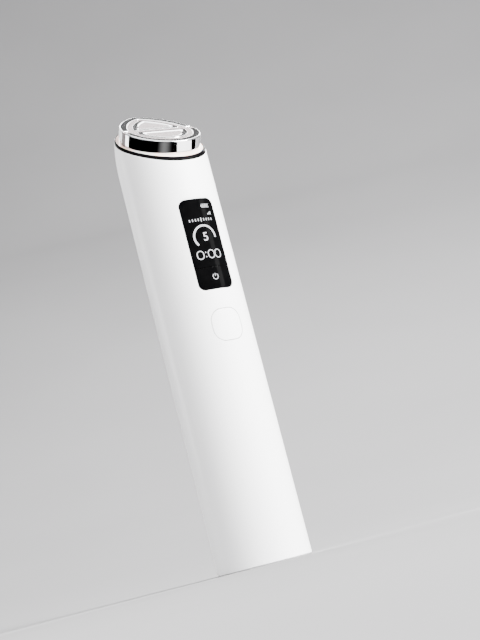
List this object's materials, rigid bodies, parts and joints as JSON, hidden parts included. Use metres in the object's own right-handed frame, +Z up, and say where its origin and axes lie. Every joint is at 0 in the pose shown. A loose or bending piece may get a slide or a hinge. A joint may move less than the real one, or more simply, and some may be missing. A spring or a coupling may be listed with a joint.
{
  "type": "microcurrent facial device",
  "caption": "Slim upright tube with a slanted, drop-shaped electrode head, a display window with a power key below it, a mode button and a charging socket in its base.",
  "frame": {"origin": "centre of the base rim, on the surface the device stands on", "axes": "+Z up along the tube, -Y towards the side with the display and the keys, +X to the right of somebody who looks at the display"},
  "size_m": [0.034, 0.034, 0.1723],
  "materials": {
    "shell_white": "satin lacquer",
    "cap_white": "fine matt",
    "key_white": "satin lacquer",
    "seal_rubber": "matt",
    "screw_steel": "zinc plated",
    "port_steel": "bright",
    "port_black": "matt",
    "board_green": "solder mask",
    "ribbon_amber": "film",
    "frame_grey": "moulded",
    "frame_black": "moulded",
    "chip_black": "matt",
    "chip_tan": "matt",
    "ferrite": "matt",
    "copper": "enamelled wire",
    "cell_wrap": "shrink film",
    "tab_nickel": "nickel strip",
    "lead_red": "silicone",
    "lead_black": "silicone",
    "lead_blue": "silicone",
    "window_black": "polished",
    "lit_white": "back lit",
    "panel_glass": "polished",
    "stem_white": "moulded",
    "switch_steel": "pressed",
    "motor_steel": "bright",
    "weight_metal": "sintered",
    "seam_black": "polished",
    "light_guide": "frosted",
    "led_yellow": "clear",
    "head_grey": "fine matt",
    "electrode_chrome": "mirror",
    "pin_gold": "gold plated"
  },
  "bodies": {
    "housing": {"body_shell": "shell_white", "bottom_cap": "cap_white", "cap_seal": "seal_rubber", "cap_screws": "screw_steel", "port_shell": "port_steel", "port_tongue": "port_black", "port_board": "board_green", "port_screws": "screw_steel", "port_ribbon": "ribbon_amber", "chassis_front": "frame_grey", "chassis_rear": "frame_grey", "chassis_screws": "screw_steel", "main_board": "board_green", "control_chip": "chip_black", "output_chip": "chip_black", "board_parts": "chip_tan", "boost_core": "ferrite", "boost_winding": "copper", "battery_cell": "cell_wrap", "battery_guard": "board_green", "battery_tab": "tab_nickel", "battery_lead_red": "lead_red", "battery_lead_black": "lead_black", "display_window": "window_black", "display_icons": "lit_white", "display_panel": "panel_glass", "display_frame": "frame_black", "display_ribbon": "ribbon_amber", "power_switch": "switch_steel", "mode_switch": "switch_steel", "motor_can": "motor_steel", "motor_leads": "lead_blue", "seam_ring": "seam_black", "light_ring": "light_guide", "head_board": "board_green", "head_lights": "led_yellow", "head_carrier": "frame_grey", "head_screws": "screw_steel", "head_ribbon": "ribbon_amber", "head_base": "head_grey", "electrode_ring_front": "electrode_chrome", "electrode_ring_back": "electrode_chrome", "electrode_pad_front": "electrode_chrome", "electrode_pad_back": "electrode_chrome", "contact_pins": "pin_gold"},
    "power_key": {"power_button": "window_black", "power_icon": "lit_white", "power_stem": "stem_white"},
    "mode_key": {"mode_button": "key_white", "mode_stem": "stem_white"},
    "motor_rotor": {"motor_shaft": "motor_steel", "motor_weight": "weight_metal"}
  },
  "joints": [
    {"name": "power_press", "type": "slide", "parent": "housing", "child": "power_key", "axis": [0, 1, 0], "range_m": [0, 0.0004], "stiffness_N_per_m": 3000},
    {"name": "mode_press", "type": "slide", "parent": "housing", "child": "mode_key", "axis": [0, 1, 0], "range_m": [0, 0.0004], "stiffness_N_per_m": 3000},
    {"name": "motor_spin", "type": "hinge", "parent": "housing", "child": "motor_rotor", "pos_m": [0, 0.005, 0.128], "axis": [0, 0, 1], "continuous": true}
  ]
}
